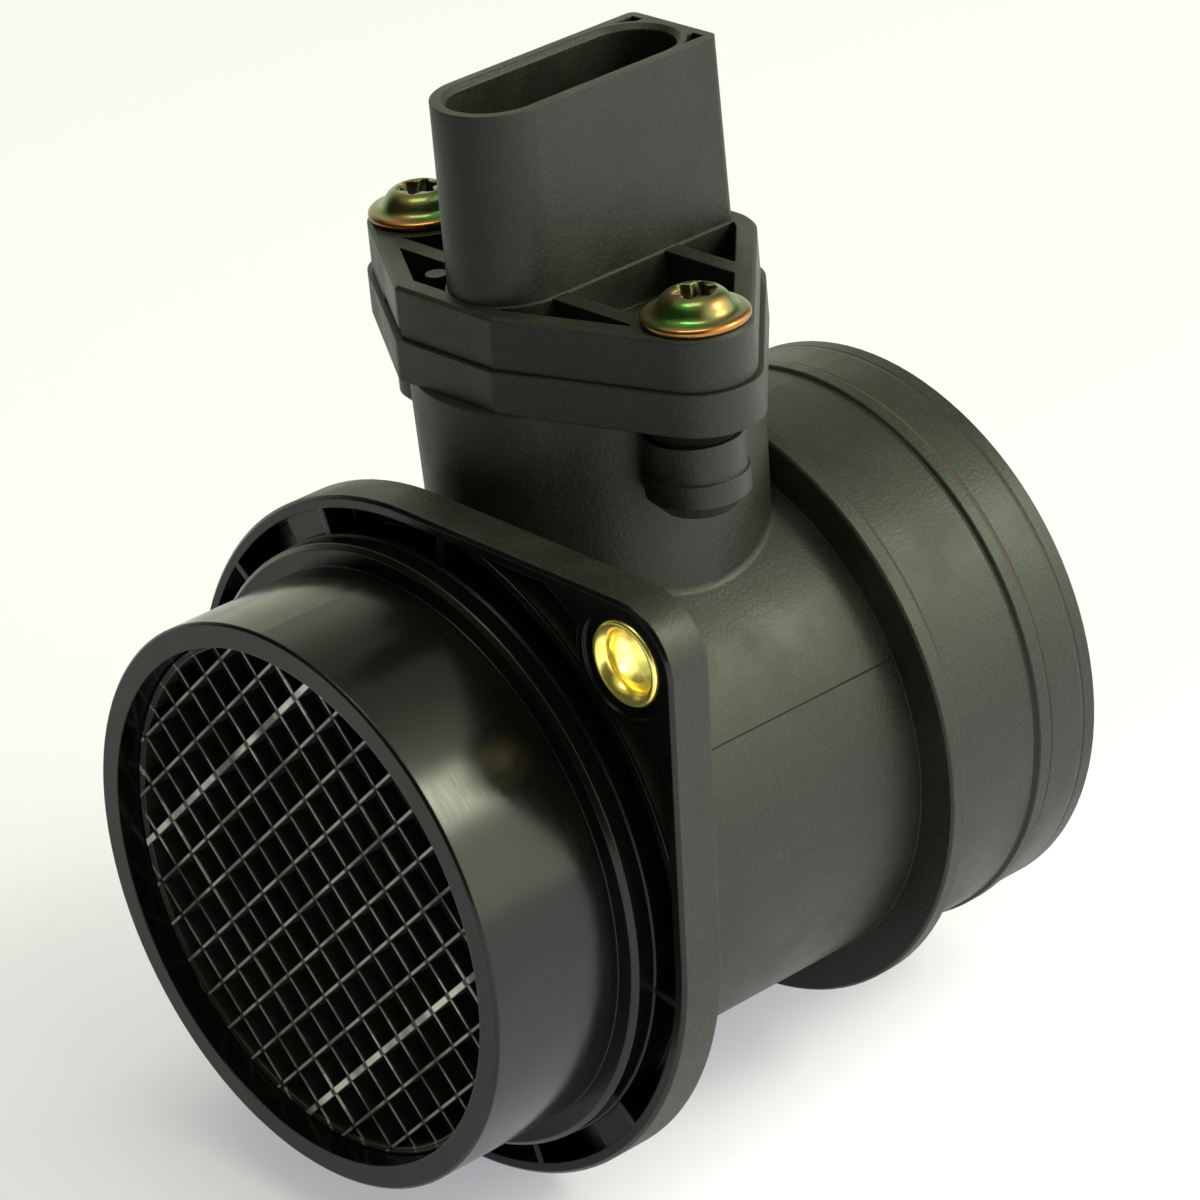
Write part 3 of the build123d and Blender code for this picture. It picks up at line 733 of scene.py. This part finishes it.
# %% Turned mesh helper
def ring_points(radius, height, sides):
    """Points of one ring, with the radius fixed or a function of the turn."""
    points = []
    for side in range(sides):
        turn = 2 * math.pi * side / sides
        reach = radius(turn) if callable(radius) else radius
        points.append((reach * math.cos(turn), reach * math.sin(turn), height))
    return points


def turned_mesh(name, rings, sides, closed, marks=None):
    """Mesh spun about Z from rings in mm: a closed ring of rings, or with two ends."""
    points = [point for ring in rings for point in ring_points(*ring, sides)]
    last = len(rings) - 1
    faces = []
    for level in range(len(rings) if closed else last):
        following = (level + 1) % len(rings)
        for side in range(sides):
            after = (side + 1) % sides
            faces.append(
                (
                    level * sides + side,
                    level * sides + after,
                    following * sides + after,
                    following * sides + side,
                )
            )
    if not closed:
        faces.append(tuple(reversed(range(sides))))
        faces.append(tuple(last * sides + side for side in range(sides)))
    mesh = bpy.data.meshes.new(name)
    mesh.from_pydata([[value * MM for value in point] for point in points], [], faces)
    for mark, levels in (marks or {}).items():
        values = mesh.attributes.new(mark, "FLOAT", "POINT")
        for level, strength in levels.items():
            for side in range(sides):
                turn = 2 * math.pi * side / sides
                share = strength(turn) if callable(strength) else strength
                values.data[level * sides + side].value = share
    return mesh


def along_duct(x=0.0, y=0.0, z=0.0):
    """Matrix that lays a mesh spun about Z along the duct, and moves it."""
    return Matrix(((1, 0, 0, x), (0, 0, 1, y), (0, 1, 0, z), (0, 0, 0, 1)))


def add_piece(name, mesh, slot, *replaced):
    """Object at the origin that rides on the part and takes a slot's finish."""
    form = bmesh.new()
    form.from_mesh(mesh)
    bmesh.ops.recalc_face_normals(form, faces=form.faces)
    form.to_mesh(mesh)
    form.free()
    mesh.materials.clear()
    mesh.materials.append(materials[slot])
    mesh.shade_smooth()
    piece = bpy.data.objects.new(name, mesh)
    bpy.context.scene.collection.objects.link(piece)
    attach(piece, "root")
    if replaced:
        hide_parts(*replaced)
    return piece


def triangles(piece):
    """Number of triangles in a piece."""
    return sum(len(face.vertices) - 2 for face in piece.data.polygons)


print("turning helper ready")

# %% [markdown]
# ## Sleeves in the flange
# Each bolt hole has a pressed metal sleeve, so that the bolt clamps metal and
# not plastic. Its front end is rolled to a round lip, which makes the bright
# double ring in the photograph.

# %% Sleeves
sleeve_r = 5.15
sleeve_hole_r = 3.5
sleeve_sides = 64
lip_wall_share = 0.62
lip_turn = 110
lip_steps = 7


def lip_arc(centre_r, centre_h, radius):
    """Rings along the lip's arc, from its outside over its front."""
    rings = []
    for step in range(lip_steps + 1):
        angle = math.radians(lip_turn * step / lip_steps)
        rings.append((centre_r + radius * math.cos(angle), centre_h - radius * math.sin(angle)))
    return rings


def sleeve_rings(length):
    """Closed profile: outer wall, rolled lip, funnel, bore and the rear end."""
    lip = (sleeve_r - sleeve_hole_r) / 2 * lip_wall_share
    rings = [(sleeve_r, length), (sleeve_r, lip)]
    rings += lip_arc(sleeve_r - lip, lip, lip)
    rings += [(sleeve_hole_r + 0.30, 0.75), (sleeve_hole_r + 0.08, 1.3)]
    rings += [(sleeve_hole_r, 1.9), (sleeve_hole_r, length)]
    return rings


def add_sleeve(node):
    """Sleeve at its node's middle, with its lip at the front."""
    low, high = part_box(node)
    x, z = ((low[axis] + high[axis]) / 2 for axis in (0, 2))
    length = (high[1] - low[1]) / MM
    mesh = turned_mesh(node + "_rolled", sleeve_rings(length), sleeve_sides, True)
    mesh.transform(along_duct(x, low[1], z))
    return add_piece(node + "_rolled", mesh, "sleeve", node)


sleeves = [add_sleeve(node) for node in ("bush_upper", "bush_lower")]
print("sleeves", [triangles(piece) for piece in sleeves])

# %% [markdown]
# ## Screws
# The sensor is held by two washer-head screws. The head flows into its washer
# through a hollow flare, the crown is domed, and the drive has six lobes. One
# list of rings gives all of that, and both screws share it.

# %% Screws
screw_sides = 72
screw_below = 16.0
shank_r = 2.5
drive_mean_r = 2.15
drive_swing = 0.38
rim_reflection_turn = math.radians(-30)
rim_levels = range(4, 10)
crest_level = 10


def drive_edge(scale):
    """Radius of the six-lobe drive as a function of the turn."""
    return lambda turn: scale * (drive_mean_r + drive_swing * math.cos(6 * turn))


screw_rings = [
    (0.2, -screw_below), (1.9, -screw_below), (shank_r, 0.6 - screw_below), (shank_r, 0.0),
    (5.8, 0.0), (6.08, 0.10), (6.25, 0.30), (6.3, 0.55), (6.25, 0.80), (6.08, 1.00),
    (5.8, 1.12), (5.4, 1.16), (5.0, 1.24), (4.7, 1.42), (4.45, 1.70), (4.25, 2.05),
    (4.03, 2.45), (3.75, 2.82), (3.4, 3.12), (3.0, 3.32), (2.72, 3.41),
    (drive_edge(1.05), 3.42), (drive_edge(1.0), 3.30), (drive_edge(0.93), 1.7), (0.25, 1.45),
]


def rim_brown_and_reflection(strength):
    """Strength of the brown on a washer's rim: a steady share all round, plus a painted
    reflection strongest on one side.
    """
    return lambda turn: strength * (0.55 + 0.45 * math.cos(turn - rim_reflection_turn))


def screw_marks():
    """The washer's rim for its brown and painted reflection, and the drive's walls and floor
    for painted shade, by ring.
    """
    count = len(screw_rings)
    rim = {level: rim_brown_and_reflection(1.0) for level in rim_levels}
    # Painted shade: the drive's walls and floor are painted dark.
    hollow = {count - 3: 0.5, count - 2: 1.0, count - 1: 1.0}
    return {"rim": {**rim, crest_level: rim_brown_and_reflection(0.4)}, "hollow": hollow}


def add_screw(node):
    """Screw over its node, standing on the sensor's flange."""
    low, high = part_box(node)
    mesh = turned_mesh(node + "_turned", screw_rings, screw_sides, False, screw_marks())
    seat = low[2] + screw_below * MM
    place = ((low[0] + high[0]) / 2, (low[1] + high[1]) / 2, seat)
    mesh.transform(Matrix.Translation(place))
    return add_piece(node + "_turned", mesh, "screw", node)


screws = [add_screw(node) for node in ("screw_near", "screw_far")]
print("screws", [triangles(piece) for piece in screws])

# %% [markdown]
# ## Flow grid
# The grid evens out the air before it reaches the sensor. It is a lattice of
# deep, thin bars at a slant, and its bars end in a rim. A lattice follows a
# rule, so Geometry Nodes build it: a line of points at one pitch, a bar on each
# point as long as the circle's chord there, and a second family across it.

# %% One bar
bar_depth = 2.3
bar_bevel = 0.12
bar_crown = 0.09 * MM


def unit_bar():
    """Bar one metre long and wide, with bevelled long edges, as a seed mesh."""
    half = bar_depth / 2 * MM
    flank = half - bar_crown
    flat = 0.5 - bar_bevel
    outline = [
        (flat, -half), (0.5, -flank), (0.5, flank), (flat, half),
        (-flat, half), (-0.5, flank), (-0.5, -flank), (-flat, -half),
    ]
    points = [(end, y, z) for end in (-0.5, 0.5) for y, z in outline]
    count = len(outline)
    faces = [
        (corner, (corner + 1) % count, count + (corner + 1) % count, count + corner)
        for corner in range(count)
    ]
    faces += [tuple(reversed(range(count))), tuple(range(count, 2 * count))]
    mesh = bpy.data.meshes.new("grid bar")
    mesh.from_pydata(points, [], faces)
    return mesh


print("bar faces", len(unit_bar().polygons))

# %% Grid tree
bars_each_side = 6


def new_tree(name, inputs):
    """Geometry node tree with a mesh in, named numbers in, a finish, a mesh out."""
    tree = bpy.data.node_groups.new(name, "GeometryNodeTree")
    tree.interface.new_socket("Mesh", in_out="INPUT", socket_type="NodeSocketGeometry")
    for label in inputs:
        tree.interface.new_socket(label, in_out="INPUT", socket_type="NodeSocketFloat")
    tree.interface.new_socket("Finish", in_out="INPUT", socket_type="NodeSocketMaterial")
    tree.interface.new_socket("Mesh", in_out="OUTPUT", socket_type="NodeSocketGeometry")
    return tree, tree.nodes.new("NodeGroupInput"), tree.nodes.new("NodeGroupOutput")


def add_family(tree, given, pitch, width, strong_width, extra_turn):
    """Bars at a pitch, each as long as the chord, turned to their slant."""
    line = tree.nodes.new("GeometryNodeMeshLine")
    line.inputs["Count"].default_value = 2 * bars_each_side + 1
    offset = tree.nodes.new("ShaderNodeCombineXYZ")
    start = tree.nodes.new("ShaderNodeCombineXYZ")
    tree.links.new(given.outputs[pitch], offset.inputs["Y"])
    begin = math_step(tree, "MULTIPLY", given.outputs[pitch], -float(bars_each_side))
    tree.links.new(begin, start.inputs["Y"])
    tree.links.new(offset.outputs[0], line.inputs["Offset"])
    tree.links.new(start.outputs[0], line.inputs["Start Location"])

    place = tree.nodes.new("ShaderNodeSeparateXYZ")
    tree.links.new(tree.nodes.new("GeometryNodeInputPosition").outputs[0], place.inputs[0])
    ring_square = math_step(tree, "POWER", given.outputs["Ring radius"], 2.0)
    offset_square = math_step(tree, "MULTIPLY", place.outputs["Y"], place.outputs["Y"])
    half = math_step(tree, "SQRT", math_step(tree, "SUBTRACT", ring_square, offset_square))
    chord = math_step(tree, "MULTIPLY", half, 2.0)

    number = tree.nodes.new("GeometryNodeInputIndex").outputs[0]
    from_middle = math_step(tree, "SUBTRACT", number, float(bars_each_side))
    away = math_step(tree, "ABSOLUTE", from_middle)
    is_strong = math_step(tree, "COMPARE", away, float(strong_bar), 0.1)
    gain = math_step(tree, "SUBTRACT", given.outputs[strong_width], given.outputs[width])
    added = math_step(tree, "MULTIPLY", gain, is_strong)
    wide = math_step(tree, "ADD", given.outputs[width], added)
    scale = tree.nodes.new("ShaderNodeCombineXYZ")
    tree.links.new(chord, scale.inputs["X"])
    tree.links.new(wide, scale.inputs["Y"])
    scale.inputs["Z"].default_value = 1.0

    bars = tree.nodes.new("GeometryNodeInstanceOnPoints")
    tree.links.new(line.outputs[0], bars.inputs["Points"])
    tree.links.new(given.outputs["Mesh"], bars.inputs["Instance"])
    tree.links.new(scale.outputs[0], bars.inputs["Scale"])
    turn = tree.nodes.new("GeometryNodeTransform")
    angle = tree.nodes.new("ShaderNodeCombineXYZ")
    slant = math_step(tree, "ADD", given.outputs["Slant"], extra_turn)
    tree.links.new(slant, angle.inputs["Z"])
    tree.links.new(angle.outputs[0], turn.inputs["Rotation"])
    tree.links.new(bars.outputs[0], turn.inputs["Geometry"])
    return turn


def grid_tree():
    """Both families joined, stood up in the inlet, made real, with their finish."""
    tree, given, result = new_tree("flow grid", GRID_INPUTS)
    rising = add_family(tree, given, "Rising pitch", "Rising width", "Strong rising width", 0.0)
    falling = add_family(
        tree, given, "Falling pitch", "Falling width", "Strong falling width", math.pi / 2
    )
    back = tree.nodes.new("ShaderNodeCombineXYZ")
    step_back = math_step(tree, "MULTIPLY", given.outputs["Step back"], -1.0)
    tree.links.new(step_back, back.inputs["Z"])
    tree.links.new(back.outputs[0], falling.inputs["Translation"])
    join = tree.nodes.new("GeometryNodeJoinGeometry")
    stand = tree.nodes.new("GeometryNodeTransform")
    stand.inputs["Rotation"].default_value = (math.pi / 2, 0, 0)
    seat = tree.nodes.new("ShaderNodeCombineXYZ")
    tree.links.new(given.outputs["Seat"], seat.inputs["Y"])
    tree.links.new(seat.outputs[0], stand.inputs["Translation"])
    real = tree.nodes.new("GeometryNodeRealizeInstances")
    finish = tree.nodes.new("GeometryNodeSetMaterial")
    tree.links.new(given.outputs["Finish"], finish.inputs["Material"])
    for family in (rising, falling):
        tree.links.new(family.outputs[0], join.inputs[0])
    tree.links.new(join.outputs[0], stand.inputs["Geometry"])
    tree.links.new(stand.outputs[0], real.inputs[0])
    tree.links.new(real.outputs[0], finish.inputs["Geometry"])
    tree.links.new(finish.outputs[0], result.inputs[0])
    return tree


def set_inputs(modifier, values):
    """Fill a modifier's inputs through their sockets' identifiers."""
    for socket in modifier.node_group.interface.items_tree:
        if socket.in_out == "INPUT" and socket.name in values:
            modifier[socket.identifier] = values[socket.name]


def grown_mesh(name, seed, tree, values):
    """Mesh that a tree makes from a seed mesh."""
    carrier = bpy.data.objects.new(name, seed)
    bpy.context.scene.collection.objects.link(carrier)
    modifier = carrier.modifiers.new("growth", "NODES")
    modifier.node_group = tree
    set_inputs(modifier, values)
    bpy.context.view_layer.update()
    evaluated = carrier.evaluated_get(bpy.context.evaluated_depsgraph_get())
    mesh = bpy.data.meshes.new_from_object(evaluated)
    carrier.modifiers.remove(modifier)
    bpy.data.objects.remove(carrier)
    return mesh


lattice = grown_mesh(
    "lattice", unit_bar(), grid_tree(), {**GRID_INPUTS, "Finish": materials["grid"]}
)
print("lattice faces", len(lattice.polygons))

# %% Grid rim
rim_rings = [
    (31.95, -15.7), (31.95, -17.9), (31.8, -18.08), (31.55, -18.08), (31.42, -17.95),
    (31.3, -18.05), (31.1, -18.0), (31.0, -17.85), (31.0, -15.7),
]
rim_sides = 128
rim = turned_mesh("rim", rim_rings, rim_sides, True)
rim.transform(along_duct())


def joined_mesh(name, *meshes):
    """One mesh from several."""
    form = bmesh.new()
    for mesh in meshes:
        form.from_mesh(mesh)
    joined = bpy.data.meshes.new(name)
    form.to_mesh(joined)
    form.free()
    return joined


grid = add_piece("flow_grid_bars", joined_mesh("grid", lattice, rim), "grid", "flow_grid")
grid.data.shade_flat()
print("grid triangles", triangles(grid))

# %% [markdown]
# ## Gaps under the neck's flange
# Below each screw the neck has a boss, and a gap parts it from the flange above
# it, which shows as a dark crescent. In the photograph the flange's underside
# sits a little higher than in the solids. So we take a copy of the housing's
# mesh and raise the vertices of that one plane, which opens the gaps. Merging
# the copy's vertices would lose the solids' exact normals, so each corner
# remembers which corner it came from, and gets its normal back.

# %% Housing
flange_underside = 50.6 * MM
underside_rise = 1.1 * MM
merge_reach = 0.0005 * MM
level_slack = 0.01 * MM


def add_housing():
    """Copy of the housing with the neck flange's underside raised."""
    solid = nodes["tube_housing"].data
    normals = [corner.vector.copy() for corner in solid.corner_normals]
    form = bmesh.new()
    form.from_mesh(solid)
    form.faces.ensure_lookup_table()
    source_corner = form.loops.layers.int.new("source_corner")
    for face in form.faces:
        for step, corner in enumerate(face.loops):
            corner[source_corner] = solid.polygons[face.index].loop_start + step
    bmesh.ops.remove_doubles(form, verts=form.verts, dist=merge_reach)
    moved = [v for v in form.verts if abs(v.co.z - flange_underside) < level_slack]
    for vertex in moved:
        vertex.co.z += underside_rise
    mesh = bpy.data.meshes.new("housing_open_gaps")
    form.to_mesh(mesh)
    form.free()
    piece = add_piece("housing_open_gaps", mesh, "housing", "tube_housing")
    order = [corner.value for corner in mesh.attributes["source_corner"].data]
    mesh.normals_split_custom_set([normals[corner] for corner in order])
    mesh.attributes.remove(mesh.attributes["source_corner"])
    print("raised vertices", len(moved))
    return piece


housing = add_housing()
print("housing triangles", triangles(housing))
